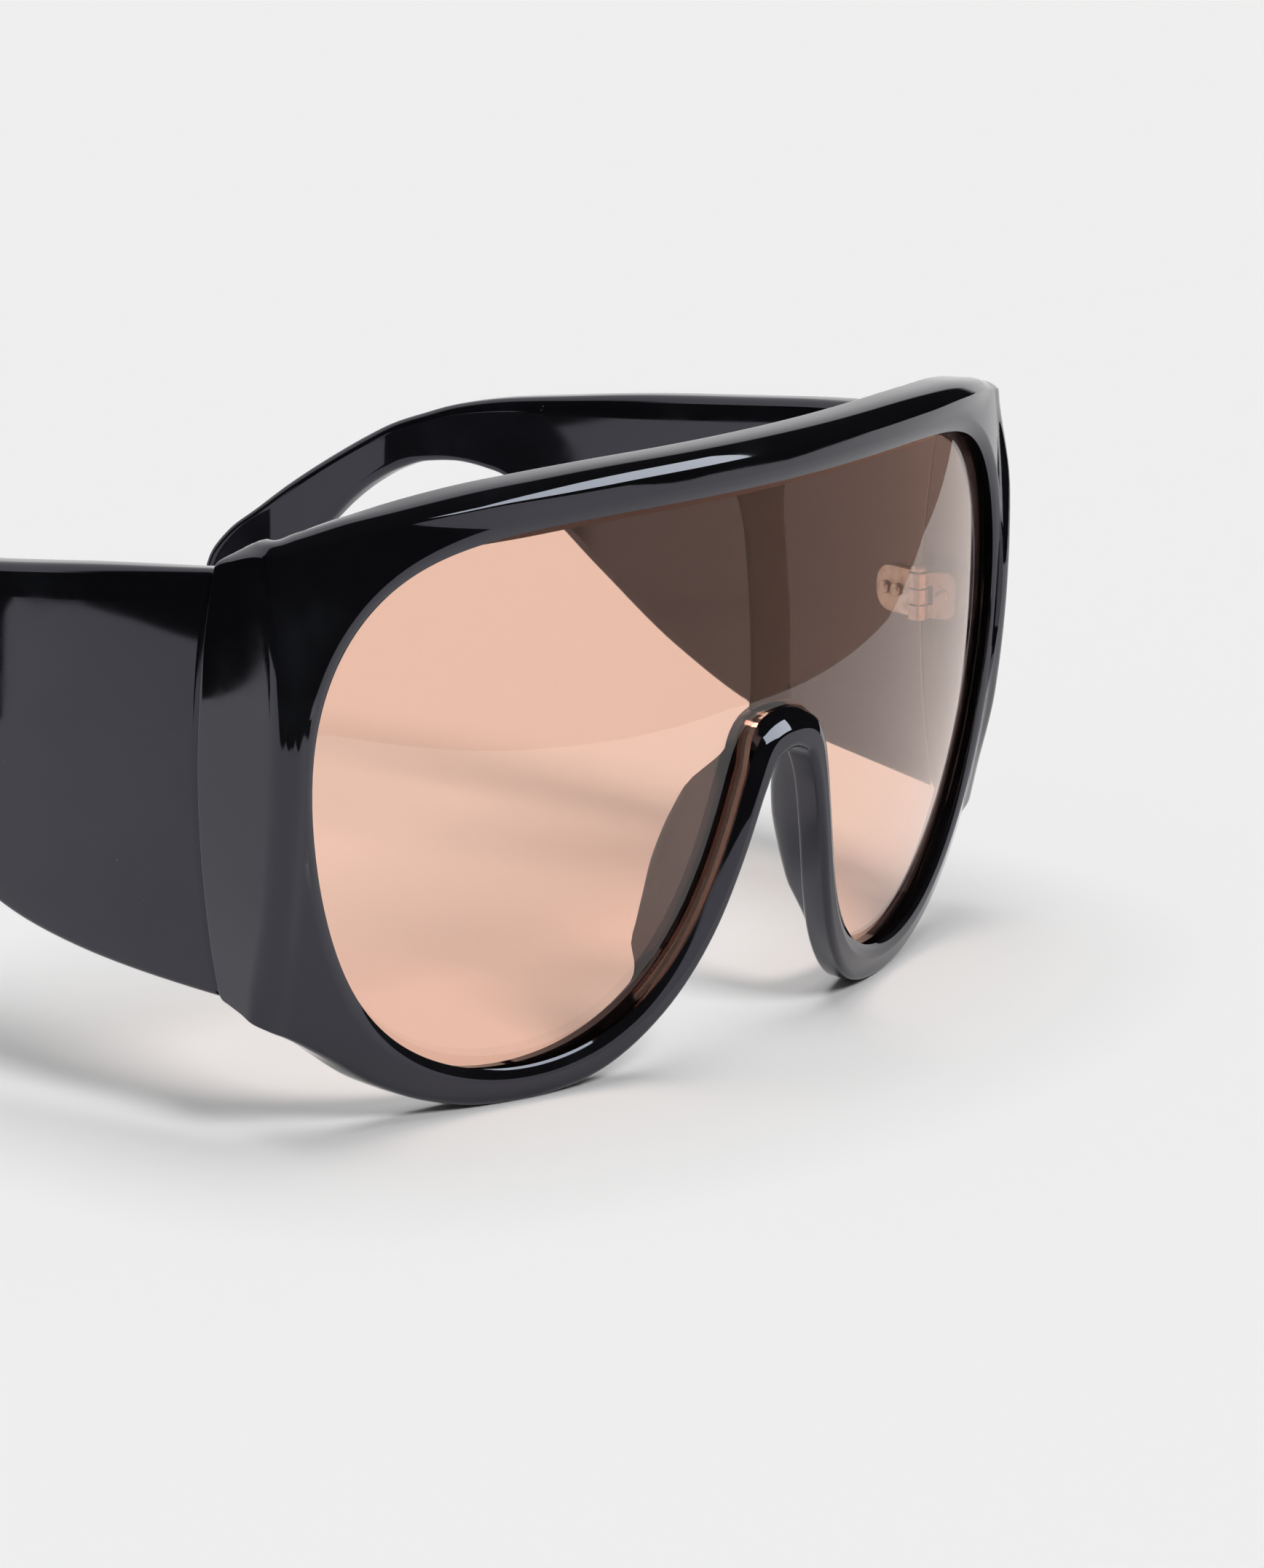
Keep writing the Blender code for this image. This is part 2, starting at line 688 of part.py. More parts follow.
def make_hinge(word, side, collection, tools):
    third = (hinge_high - hinge_low - 2 * touch_gap) / 3
    middle_low = hinge_low + third + touch_gap
    middle_high = middle_low + third
    cut_radius = pin_radius + touch_gap
    centre = Vector((0, 0, 0))
    made = {}
    for part, turn, off, start, end, bands, rivets in (
            ("temple_leaf", temple_leaf_turn, temple_leaf_off, temple_leaf_start, temple_leaf_long,
             ((middle_low, middle_high),), temple_rivet_y),
            ("front_leaf", front_leaf_turn, front_leaf_off, -front_leaf_start, -front_leaf_long,
             ((hinge_low, middle_low - touch_gap), (middle_high + touch_gap, hinge_high)), front_rivet_y)):
        frame = leaf_frame(side, turn)
        name = "hinge_" + part + "_" + word
        outer = off - touch_gap
        inner = outer - leaf_thick
        leaf = prism(name, leaf_outline(start, end, hinge_low, hinge_high), inner, outer, frame, collection)
        for number, (low, high) in enumerate(bands):
            arm_end = start + math.copysign(arm_overlap, end)
            arm_outline = ((0, low + arm_inset), (arm_end, low + arm_inset),
                           (arm_end, high - arm_inset), (0, high - arm_inset))
            arm = prism(name + "_arm_tool" + str(number), arm_outline, inner + arm_inset,
                        outer - arm_inset, frame, tools)
            add_boolean(leaf, arm, "UNION")
            knuckle = turned(name + "_knuckle_tool" + str(number),
                             ((knuckle_radius, low), (knuckle_radius, high)), "z", centre, frame, tools)
            add_boolean(leaf, knuckle, "UNION")
        bore = turned(name + "_bore_tool", ((cut_radius, hinge_low - bore_past), (cut_radius, hinge_high + bore_past)),
                      "z", centre, frame, tools)
        add_boolean(leaf, bore, "DIFFERENCE")
        holes = []
        for number, y in enumerate(rivets):
            spot = Vector((0, y, (hinge_low + hinge_high) / 2))
            hole_end = outer + rivet_long + 2 * touch_gap
            hole_radius = rivet_radius + touch_gap
            hole = turned(name + "_hole_tool" + str(number), ((hole_radius, inner - bore_past), (hole_radius, hole_end)),
                          "x", spot, frame, tools, rivet_facets)
            add_boolean(leaf, hole, "DIFFERENCE")
            holes.append(hole)
            head = inner - touch_gap
            profile = ((rivet_head_radius * 0.55, head - rivet_head_tall),
                       (rivet_head_radius * 0.9, head - rivet_head_tall * 0.7),
                       (rivet_head_radius, head - rivet_head_tall * 0.3), (rivet_head_radius, head),
                       (rivet_radius, head), (rivet_radius, outer + rivet_long))
            rivet = turned("rivet_" + part + "_" + word + "_" + str(number + 1), profile, "x", spot,
                           frame, collection, rivet_facets)
            made.setdefault("rivets", []).append(rivet)
        made[part] = (leaf, holes)
    frame = leaf_frame(side, 0)
    seat = hinge_high + touch_gap
    profile = ((pin_radius * 0.7, hinge_low - pin_foot), (pin_radius, hinge_low), (pin_radius, seat),
               (pin_head_radius, seat), (pin_head_radius, seat + pin_head_tall * 0.6),
               (pin_head_radius * 0.75, seat + pin_head_tall))
    made["screw"] = turned("hinge_screw_" + word, profile, "z", centre, frame, collection)
    return made


def make_material(name, colour, metallic, rough):
    material = bpy.data.materials.new(name)
    material.use_nodes = True
    shader = material.node_tree.nodes["Principled BSDF"]
    shader.inputs["Base Color"].default_value = colour
    shader.inputs["Metallic"].default_value = metallic
    shader.inputs["Roughness"].default_value = rough
    return material


def main():
    clear_scene()
    scene = bpy.context.scene
    collection = bpy.data.collections.new("round_sunglasses")
    tools = bpy.data.collections.new("cutting_tools")
    scene.collection.children.link(collection)
    scene.collection.children.link(tools)

    black = make_material("gloss_black", (0.012, 0.012, 0.014, 1), 0, 0.12)
    tint = make_material("peach_lens", (0.85, 0.52, 0.4, 1), 0, 0.04)
    steel = make_material("hinge_steel", (0.62, 0.62, 0.64, 1), 1, 0.28)

    front = make_front(collection, tools)
    lens = make_lens(collection)
    temples = {"right": make_temple("temple_right", -1, collection),
               "left": make_temple("temple_left", 1, collection)}
    metal = []
    for word, side in (("right", -1), ("left", 1)):
        made = make_hinge(word, side, collection, tools)
        leaf, holes = made["temple_leaf"]
        for hole in holes:
            add_boolean(temples[word], hole, "DIFFERENCE")
        metal.append(leaf)
        leaf, holes = made["front_leaf"]
        for hole in holes:
            add_boolean(front, hole, "DIFFERENCE")
        metal.append(leaf)
        metal += made["rivets"]
        metal.append(made["screw"])

    for item in [front] + list(temples.values()):
        item.data.materials.append(black)
        use_smooth(item)
    lens.data.materials.append(tint)
    use_smooth(lens)
    for item in metal:
        item.data.materials.append(steel)
        use_smooth(item)
    for tool in tools.objects:
        tool.hide_render = True
        tool.display_type = "WIRE"

    for word, side in (("right", -1), ("left", 1)):
        pin = bpy.data.objects.new("hinge_axis_" + word, None)
        pin.location = (side * pin_x, pin_y - middle_back, floor_drop + (hinge_low + hinge_high) / 2)
        collection.objects.link(pin)
        moving = [item for item in collection.objects
                  if item.type == "MESH" and item.name.endswith(word) and "temple" in item.name]
        moving += [item for item in collection.objects if item.name.startswith("rivet_temple_leaf_" + word)]
        for item in moving:
            item.parent = pin
            item.matrix_parent_inverse = Matrix.Translation(-Vector(pin.location))


main()
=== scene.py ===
import math

import bpy
import bmesh
from mathutils import Matrix, Vector


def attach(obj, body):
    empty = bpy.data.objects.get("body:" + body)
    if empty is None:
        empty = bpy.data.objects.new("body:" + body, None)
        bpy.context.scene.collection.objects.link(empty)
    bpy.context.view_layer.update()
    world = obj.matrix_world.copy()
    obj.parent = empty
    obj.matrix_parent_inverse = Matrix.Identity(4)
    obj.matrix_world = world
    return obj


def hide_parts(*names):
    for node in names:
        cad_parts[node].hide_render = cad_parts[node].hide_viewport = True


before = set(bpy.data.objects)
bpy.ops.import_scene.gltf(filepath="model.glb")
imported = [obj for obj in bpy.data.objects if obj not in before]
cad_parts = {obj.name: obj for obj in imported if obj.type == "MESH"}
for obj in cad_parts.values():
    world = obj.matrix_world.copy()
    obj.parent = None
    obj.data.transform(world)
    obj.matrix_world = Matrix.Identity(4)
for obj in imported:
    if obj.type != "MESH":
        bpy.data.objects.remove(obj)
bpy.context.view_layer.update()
scene = bpy.context.scene
print("frame loaded")


# Camera at the photograph's angle, fitted to the outline of the front
camera = {
    "place": (-0.4950, -0.4647, 0.1985),
    "azimuth": -50.157,
    "elevation": 14.591,
    "lens": 147.65,
    "sensor": 36,
    "nearClip": 0.01,
    "farClip": 20,
}


def placeCamera():
    data = bpy.data.cameras.new("camera")
    data.lens = camera["lens"]
    data.sensor_width = camera["sensor"]
    data.sensor_fit = "HORIZONTAL"
    data.clip_start = camera["nearClip"]
    data.clip_end = camera["farClip"]
    item = bpy.data.objects.new("camera", data)
    scene.collection.objects.link(item)
    around = math.radians(camera["azimuth"])
    rise = math.radians(camera["elevation"])
    right = Vector((math.cos(around), math.sin(around), 0))
    back = Vector((math.sin(around) * math.cos(rise), -math.cos(around) * math.cos(rise), math.sin(rise)))
    turned = Matrix((right, back.cross(right), back)).transposed().to_4x4()
    turned.translation = Vector(camera["place"])
    item.matrix_world = turned
    scene.camera = item


placeCamera()
scene.view_settings.view_transform = "Standard"
print("camera placed")


# Shader maths as Python expressions: a Socket wraps one output of one node
class Socket:
    def __init__(self, graph, output):
        self.graph = graph
        self.output = output

    def math(self, operation, first, second):
        return self.graph.node("ShaderNodeMath", {"operation": operation}, {0: first, 1: second})

    def __add__(self, other):
        return self.math("ADD", self, other)

    def __radd__(self, other):
        return self.math("ADD", other, self)

    def __sub__(self, other):
        return self.math("SUBTRACT", self, other)

    def __rsub__(self, other):
        return self.math("SUBTRACT", other, self)

    def __mul__(self, other):
        return self.math("MULTIPLY", self, other)

    def __rmul__(self, other):
        return self.math("MULTIPLY", other, self)


class Graph:
    def __init__(self, tree):
        self.tree = tree
        tree.nodes.clear()

    def node(self, kind, settings=None, values=None, result=0):
        # settings are set first, then each socket takes a value or a link; result picks the output
        made = self.tree.nodes.new(kind)
        for name, setting in (settings or {}).items():
            setattr(made, name, setting)
        for name, value in (values or {}).items():
            if isinstance(value, Socket):
                self.tree.links.new(value.output, made.inputs[name])
            else:
                made.inputs[name].default_value = value
        return Socket(self, made.outputs[result]) if made.outputs else None

    def mix(self, share, first, second):
        return self.node("ShaderNodeMix", {"data_type": "RGBA"}, {0: share, 6: first, 7: second}, 2)

    def rise(self, value, low, high, start=0, end=1):
        return self.node("ShaderNodeMapRange", {"interpolation_type": "SMOOTHSTEP"}, {
            "Value": value, "From Min": low, "From Max": high, "To Min": start, "To Max": end})

    def objectPlace(self):
        return self.node("ShaderNodeTexCoord", result="Object")

    def noise(self, place, scale, detail=2, rough=0.5):
        return self.node("ShaderNodeTexNoise", {}, {
            "Vector": place, "Scale": scale, "Detail": detail, "Roughness": rough})

    def bump(self, height, deep):
        return self.node("ShaderNodeBump", {}, {"Height": height, "Distance": deep, "Strength": 1})

    def finish(self, shader):
        self.node("ShaderNodeOutputMaterial", {}, {"Surface": shader})


def newMaterial(name):
    material = bpy.data.materials.new(name)
    material.use_nodes = True
    return material, Graph(material.node_tree)


# Polished black plastic
blackPlastic = {
    "colour": (0.0045, 0.0045, 0.0055, 1),
    "hazeColour": (0.011, 0.012, 0.015, 1),
    "roughness": 0.035,
    "hazeRoughness": 0.09,
    "tint": (0.84, 0.83, 1.0, 1),
    "ior": 1.65,
    "rippleScale": 34,
    "rippleDetail": 1,
    "rippleRough": 0.3,
    "rippleDeep": 0.000022,
    "hazeScale": 60,
    "hazeDetail": 4,
    "hazeRough": 0.6,
    "hazeRise": (0.45, 0.8),
    "dustScale": 520,
    "dustSize": 0.045,
    "dustCore": 0.4,
    "dustPatch": 0.31,
    "dustDetail": 0,
    "dustRise": (0.68, 0.7),
    "dustRoughness": 0.5,
    "dustColour": (0.30, 0.30, 0.31, 1),
}


def makeBlackPlastic():
    look = blackPlastic
    material, graph = newMaterial("blackPlastic")
    place = graph.objectPlace()
    ripple = graph.noise(place, look["rippleScale"], look["rippleDetail"], look["rippleRough"])
    haze = graph.noise(place, look["hazeScale"], look["hazeDetail"], look["hazeRough"])
    haze = graph.rise(haze, *look["hazeRise"])
    cell = graph.node("ShaderNodeTexVoronoi", {"feature": "F1"},
                      {"Vector": place, "Scale": look["dustScale"]})
    rare = graph.noise(place, look["dustScale"] * look["dustPatch"], look["dustDetail"])
    rare = graph.rise(rare, *look["dustRise"])
    dust = graph.rise(cell, look["dustSize"], look["dustSize"] * look["dustCore"]) * rare
    clean = graph.mix(haze, look["colour"], look["hazeColour"])
    colour = graph.mix(dust, clean, look["dustColour"])
    roughness = look["roughness"] + haze * (look["hazeRoughness"] - look["roughness"])
    roughness = roughness + dust * look["dustRoughness"]
    normal = graph.bump(ripple, look["rippleDeep"])
    shader = graph.node("ShaderNodeBsdfPrincipled", {}, {
        "Base Color": colour, "Roughness": roughness, "IOR": look["ior"], "Specular Tint": look["tint"],
        "Normal": normal})
    graph.finish(shader)
    return material


# Clear peach lens: glass to the eye, a tinted clear film to shadows, so that its tint reaches the table
peachLens = {
    "colour": (1.0, 0.638, 0.498, 1),
    "shadowColour": (0.96, 0.89, 0.86, 1),
    "roughness": 0.012,
    "smearRoughness": 0.03,
    "ior": 1.58,
    "smearScale": 45,
    "smearDetail": 5,
    "smearRough": 0.65,
    "smearRise": (0.5, 0.85),
}


def makePeachLens():
    look = peachLens
    material, graph = newMaterial("peachLens")
    place = graph.objectPlace()
    smear = graph.noise(place, look["smearScale"], look["smearDetail"], look["smearRough"])
    smear = graph.rise(smear, *look["smearRise"])
    roughness = look["roughness"] + smear * (look["smearRoughness"] - look["roughness"])
    glass = graph.node("ShaderNodeBsdfPrincipled", {}, {
        "Base Color": look["colour"], "Roughness": roughness, "IOR": look["ior"], "Transmission Weight": 1})
    clear = graph.node("ShaderNodeBsdfTransparent", {}, {"Color": look["shadowColour"]})
    shadow = graph.node("ShaderNodeLightPath", result="Is Shadow Ray")
    spread = graph.node("ShaderNodeLightPath", result="Is Diffuse Ray")
    graph.finish(graph.node("ShaderNodeMixShader", {}, {0: shadow + spread, 1: glass, 2: clear}))
    return material


# Plain nickel-silver of the hinges
hingeSteel = {
    "colour": (0.50, 0.49, 0.46, 1),
    "dullColour": (0.36, 0.35, 0.33, 1),
    "roughness": 0.3,
    "dullRoughness": 0.42,
    "grainScale": (900, 900, 5200),
    "grainDetail": 3,
    "grainRough": 0.6,
    "grainDeep": 0.000004,
    "dullScale": 700,
    "dullDetail": 3,
    "dullRise": (0.45, 0.75),
}


def makeHingeSteel():
    look = hingeSteel
    material, graph = newMaterial("hingeSteel")
    place = graph.objectPlace()
    stretched = graph.node("ShaderNodeVectorMath", {"operation": "MULTIPLY"},
                           {0: place, 1: look["grainScale"]})
    grain = graph.noise(stretched, 1, look["grainDetail"], look["grainRough"])
    dull = graph.rise(graph.noise(place, look["dullScale"], look["dullDetail"]), *look["dullRise"])
    shader = graph.node("ShaderNodeBsdfPrincipled", {}, {
        "Base Color": graph.mix(dull, look["colour"], look["dullColour"]), "Metallic": 1,
        "Roughness": look["roughness"] + dull * (look["dullRoughness"] - look["roughness"]),
        "Normal": graph.bump(grain, look["grainDeep"])})
    graph.finish(shader)
    return material


# Dull black of the rib behind the lens
ribPlastic = {
    "colour": (0.004, 0.004, 0.005, 1),
    "wornColour": (0.008, 0.008, 0.009, 1),
    "roughness": 0.5,
    "specular": 0.06,
    "wornScale": 220,
    "wornDetail": 3,
    "wornRise": (0.4, 0.7),
}


def makeRibPlastic():
    look = ribPlastic
    material, graph = newMaterial("ribPlastic")
    worn = graph.noise(graph.objectPlace(), look["wornScale"], look["wornDetail"])
    worn = graph.rise(worn, *look["wornRise"])
    shader = graph.node("ShaderNodeBsdfPrincipled", {}, {
        "Base Color": graph.mix(worn, look["colour"], look["wornColour"]),
        "Roughness": look["roughness"], "Specular IOR Level": look["specular"]})
    graph.finish(shader)
    return material


blackGloss = makeBlackPlastic()
blackDull = makeRibPlastic()
peachClear = makePeachLens()
steel = makeHingeSteel()
print("materials made")


# Sizes in metres, the same as the solids' but for the finer edges
face = {
    "halfWidth": 0.0723,
    "halfHeight": 0.0344,
    "floorDrop": 0.039,
    "middleBack": 0.0785,
    "radius": 0.1307,
    "tallRadius": 0.144,
    "lean": 0.07,
    "twist": 0.00084,
    "twistHalfWidth": 0.06,
    "twistHalfHeight": 0.03,
    "cornerLead": 0.0018,
    "cornerLeadRun": 0.0049,
}

corner = {
    "round": 0.0024,
    "highRound": 0.0045,
    "lowRound": 0.0038,
    "highFrom": 0.02,
    "highTo": 0.033,
    "lowFrom": 0.008,
    "lowTo": 0.02,
    "probe": 0.0001,
}

wing = {
    "long": 0.01358,
    "seamBow": 0.0027,
    "bowHeight": 0.026,
    "bowCentre": 0.0035,
    "mitre": 0.005,
    "share": 0.1895,
    "turnBefore": 0.0143,
    "turnPast": 0.0107,
    "turnSlant": 0.25,
}
wingRun = face["halfWidth"] * wing["share"]
faceDeep = face["radius"] - math.sqrt(face["radius"] ** 2 - face["halfWidth"] ** 2)
seamY = faceDeep + wing["long"]

temple = {
    "thick": 0.0041,
    "planAhead": 0.00255,
    "inset": 0.0062,
    "planRun": 0.1,
    "spread": 0.0204,
    "curl": 0.026,
    "long": 0.125,
    "round": 0.0011,
    "tipThinner": 0.0019,
    "tipThinFrom": 0.125,
    "tipThinTo": 0.148,
    "gap": 0.0003,
    "roundShare": 0.3,
    "mitreRows": 1.5,
    "stepsBetween": 8,
    "acrossSteps": 14,
    "arcSteps": 6,
}
planY = seamY - temple["planAhead"]
planX = face["halfWidth"] - temple["inset"]

rim = {
    "beadDeep": 0.0011,
    "beadWidth": 0.0018,
    "beadCrown": 0.05,
    "beadCrownOut": 0.6,
    "browTilt": 0.36,
    "tiltLimit": 0.009,
    "round": 0.001,
    "seamRound": 0.0004,
    "topProfile": (  # brow's crest, from the face to the top: inset, depth
        (0.0026, 0.0), (0.0022, 0.00012), (0.0016, 0.00038), (0.00105, 0.00066),
        (0.00064, 0.00094), (0.00032, 0.00134), (0.0001, 0.0019), (0.0, 0.0026),
    ),
    "cornerFall": 0.0011,
    "wallUndercut": 0.0014,
    "ledgeOvercut": 0.0008,
    "grooveDeep": 0.001,
    "lensSetBack": 0.0028,
    "lensThick": 0.002,
    "gap": 0.0003,
    "lipThick": 0.0012,
    "lipReach": 0.0002,
    "browLipDrop": 0.0018,
    "browDeep": 0.0052,
    "lobeDeep": 0.0046,
    "archDeep": 0.0052,
    "padFull": 0.0024,
    "padInnerOut": 0.0024,
    "padBackOut": 0.0046,
    "padOuterOut": 0.0073,
    "padCorner": 0.8,
    "padRoot": 0.35,
    "padRootOut": 0.6,
    "stepsBetween": 7,
    "faceSteps": 44,
    "arcSteps": 7,
    "backSteps": 5,
    "mergeReach": 0.00002,
    "probeShare": 0.002,
}

# Shares of the way round, from the middle of the brow to the bridge, between which the rim changes
turnShares = {
    "tilt": (0.09, 0.19),
    "cornerTop": (0.14, 0.2),
    "cornerEnd": (0.245, 0.275),
    "browLip": (0.1, 0.22),
    "browTop": (0.25, 0.28),
    "lobe": (0.4, 0.5),
    "arch": (0.88, 0.97),
    "wall": (0.9, 0.98),
}
seamShares = (0.8, 0.98)  # of the wing's run, between which its edges sharpen towards the seam

# Opening of the front, as shares of the half width and half height
openingShares = (
    (0.0, 1.0), (0.266, 1.0), (0.571, 1.003), (0.833, 0.887), (0.972, 0.331), (0.873, -0.686),
    (0.62, -1.032), (0.355, -0.997), (0.191, -0.66), (0.113, -0.029), (0.084, 0.145), (0.0, 0.145),
)

# Outer edge of front and wing: share of the way round, width share, height share
outerShares = (
    (0.0, 0.0, 1.18), (0.055, 0.332, 1.178), (0.11, 0.595, 1.158), (0.165, 0.844, 1.084),
    (0.192, 0.94, 1.043), (0.22, 1.0, 1.026), (0.248, 1.09, 1.02), (0.272, 1.178, 0.94),
    (0.281, 1.1895, 0.897), (0.303, 1.1895, 0.62), (0.33, 1.1895, 0.305), (0.386, 1.1895, -0.349),
    (0.408, 1.1895, -0.6), (0.417, 1.176, -0.64), (0.435, 1.082, -0.668), (0.454, 1.008, -0.695),
    (0.474, 0.952, -0.738), (0.495, 0.876, -0.836), (0.522, 0.78, -0.977), (0.551, 0.678, -1.078),
    (0.58, 0.583, -1.13), (0.606, 0.498, -1.1425), (0.633, 0.418, -1.126), (0.66, 0.339, -1.073),
    (0.716, 0.225, -0.872), (0.771, 0.154, -0.622), (0.826, 0.108, -0.358), (0.881, 0.069, -0.116),
    (0.935, 0.039, -0.003), (1.0, 0.0, 0.02),
)

# How far a nose pad stands behind the lip: share of the way round, depth
padDepths = (
    (0.0, 0.0), (0.66, 0.0), (0.7, 0.0002), (0.732, 0.0007), (0.757, 0.0015), (0.783, 0.0027),
    (0.81, 0.0039), (0.838, 0.0046), (0.858, 0.0044), (0.878, 0.0034), (0.9, 0.0018),
    (0.93, 0.0006), (0.965, 0.0), (1.0, 0.0),
)


def smoothShare(value, low, high):
    share = min(max((value - low) / (high - low), 0), 1)
    return share * share * (3 - 2 * share)


def blend(first, second, share):
    return first + (second - first) * share


class Follower:
    # A smooth curve through a table's rows, flat where a column turns back
    def __init__(self, rows, column, openEnds=False):
        self.knots = [row[0] for row in rows]
        self.values = [row[column] for row in rows]
        runs = [b - a for a, b in zip(self.knots, self.knots[1:])]
        rises = [(b - a) / run for a, b, run in zip(self.values, self.values[1:], runs)]
        self.slopes = [rises[0] if openEnds else 0]
        for before, after in zip(rises, rises[1:]):
            sameWay = before * after > 0
            self.slopes.append(2 * before * after / (before + after) if sameWay else 0)
        self.slopes.append(rises[-1] if openEnds else 0)

    def at(self, place):
        index = 0
        while index < len(self.knots) - 2 and place > self.knots[index + 1]:
            index += 1
        run = self.knots[index + 1] - self.knots[index]
        share = (place - self.knots[index]) / run
        square = share * share
        cube = square * share
        return ((2 * cube - 3 * square + 1) * self.values[index]
                + (cube - 2 * square + share) * run * self.slopes[index]
                + (3 * square - 2 * cube) * self.values[index + 1]
                + (cube - square) * run * self.slopes[index + 1])


outerWidth = Follower(outerShares, 1, True)
outerHeight = Follower(outerShares, 2)
padStand = Follower(padDepths, 1)


def openingPoint(place):
    # Point of the spline that the opening's shares steer
    degree = 3
    spans = len(openingShares) - degree
    knots = [0] * degree + list(range(spans + 1)) + [spans] * degree
    value = min(place * spans, spans * (1 - 1e-9))
    span = int(value) + degree
    points = [Vector(openingShares[span - degree + k]) for k in range(degree + 1)]
    for level in range(1, degree + 1):
        for k in range(degree, level - 1, -1):
            low = knots[span - degree + k]
            high = knots[span + 1 + k - level]
            points[k] = points[k - 1].lerp(points[k], (value - low) / (high - low))
    return Vector((points[degree].x * face["halfWidth"], points[degree].y * face["halfHeight"]))


def openingOutward(place):
    if place in (0, 1):
        along = Vector((1, 0)) if place == 0 else Vector((-1, 0))
    else:
        probe = rim["probeShare"]
        along = openingPoint(min(place + probe, 1)) - openingPoint(max(place - probe, 0))
        along.normalize()
    return Vector((-along.y, along.x))


def faceY(x, z):
    wide = face["radius"] - math.sqrt(face["radius"] ** 2 - x ** 2)
    tall = z * z / (2 * face["tallRadius"])
    twist = face["twist"] * (x / face["twistHalfWidth"]) ** 2 * (z / face["twistHalfHeight"])
    return wide - face["lean"] * z + tall - twist


def seamOuterY(z):
    return seamY - wing["seamBow"] * ((z - wing["bowCentre"]) / wing["bowHeight"]) ** 2


def templeInnerX(y):
    run = (y - planY) / temple["planRun"]
    return planX + temple["spread"] * run - temple["curl"] * run * run


def skinPoint(s, z):
    # Plan point of the outer skin: s runs along the face, round the corner and along the wing
    half = face["halfWidth"]
    if s <= half:
        lead = face["cornerLead"] * smoothShare(s, half - face["cornerLeadRun"], half)
        return Vector((s, faceY(s, z) - lead))
    endY = seamOuterY(z)
    end = Vector((templeInnerX(endY) + temple["thick"], endY))
    start = Vector((half, faceY(half, z) - face["cornerLead"]))
    return start.lerp(end, (s - half) / wingRun)


def cornerWidth(z):
    high = smoothShare(z, corner["highFrom"], corner["highTo"])
    low = smoothShare(-z, corner["lowFrom"], corner["lowTo"])
    return blend(blend(corner["round"], corner["highRound"], high), corner["lowRound"], low)


def roundedSkin(s, z):
    wide = cornerWidth(z)
    half = face["halfWidth"]
    if abs(s - half) >= wide:
        return skinPoint(s, z)
    probe = corner["probe"]
    first, last = half - wide, half + wide
    start, end = skinPoint(first, z), skinPoint(last, z)
    startWay = (start - skinPoint(first - probe, z)) / probe * 2 * wide
    endWay = (skinPoint(last + probe, z) - end) / probe * 2 * wide
    share = (s - first) / (2 * wide)
    square = share * share
    cube = square * share
    return (start * (2 * cube - 3 * square + 1) + startWay * (cube - 2 * square + share)
            + end * (3 * square - 2 * cube) + endWay * (cube - square))


def wingPoint(s, z, deep):
    half = face["halfWidth"]
    skin = roundedSkin(s, z)
    turn = smoothShare(s, half - wing["turnBefore"], half + wing["turnPast"]) * math.pi / 2
    slant = 1 + wing["turnSlant"] * math.sin(2 * turn)
    plan = skin + Vector((-math.sin(turn), math.cos(turn))) * slant * deep
    share = max(s - half, 0) / wingRun
    back = wing["mitre"] * deep / temple["thick"]
    plan.y -= back * share * share
    plan.x += (templeInnerX(seamOuterY(z) - back) - templeInnerX(seamOuterY(z))) * share * share
    return Vector((plan.x, plan.y, z))


def facePoint(flat, deep):
    return Vector((flat.x, faceY(flat.x, flat.y) + deep, flat.y))


def wallShift(place):
    return blend(rim["wallUndercut"], -rim["ledgeOvercut"], smoothShare(place, *turnShares["wall"]))


def curveThrough(points, steps):
    # Smooth curve through the points, with steps pieces between each two
    made = []
    ends = [points[0] * 2 - points[1]] + points + [points[-1] * 2 - points[-2]]
    for k in range(1, len(ends) - 2):
        a, b, c, d = ends[k - 1:k + 3]
        for step in range(steps):
            u = step / steps
            made.append((b * 2 + (c - a) * u + (a * 2 - b * 5 + c * 4 - d) * u * u
                         + (b * 3 - a - c * 3 + d) * u ** 3) / 2)
    return made + [points[-1]]


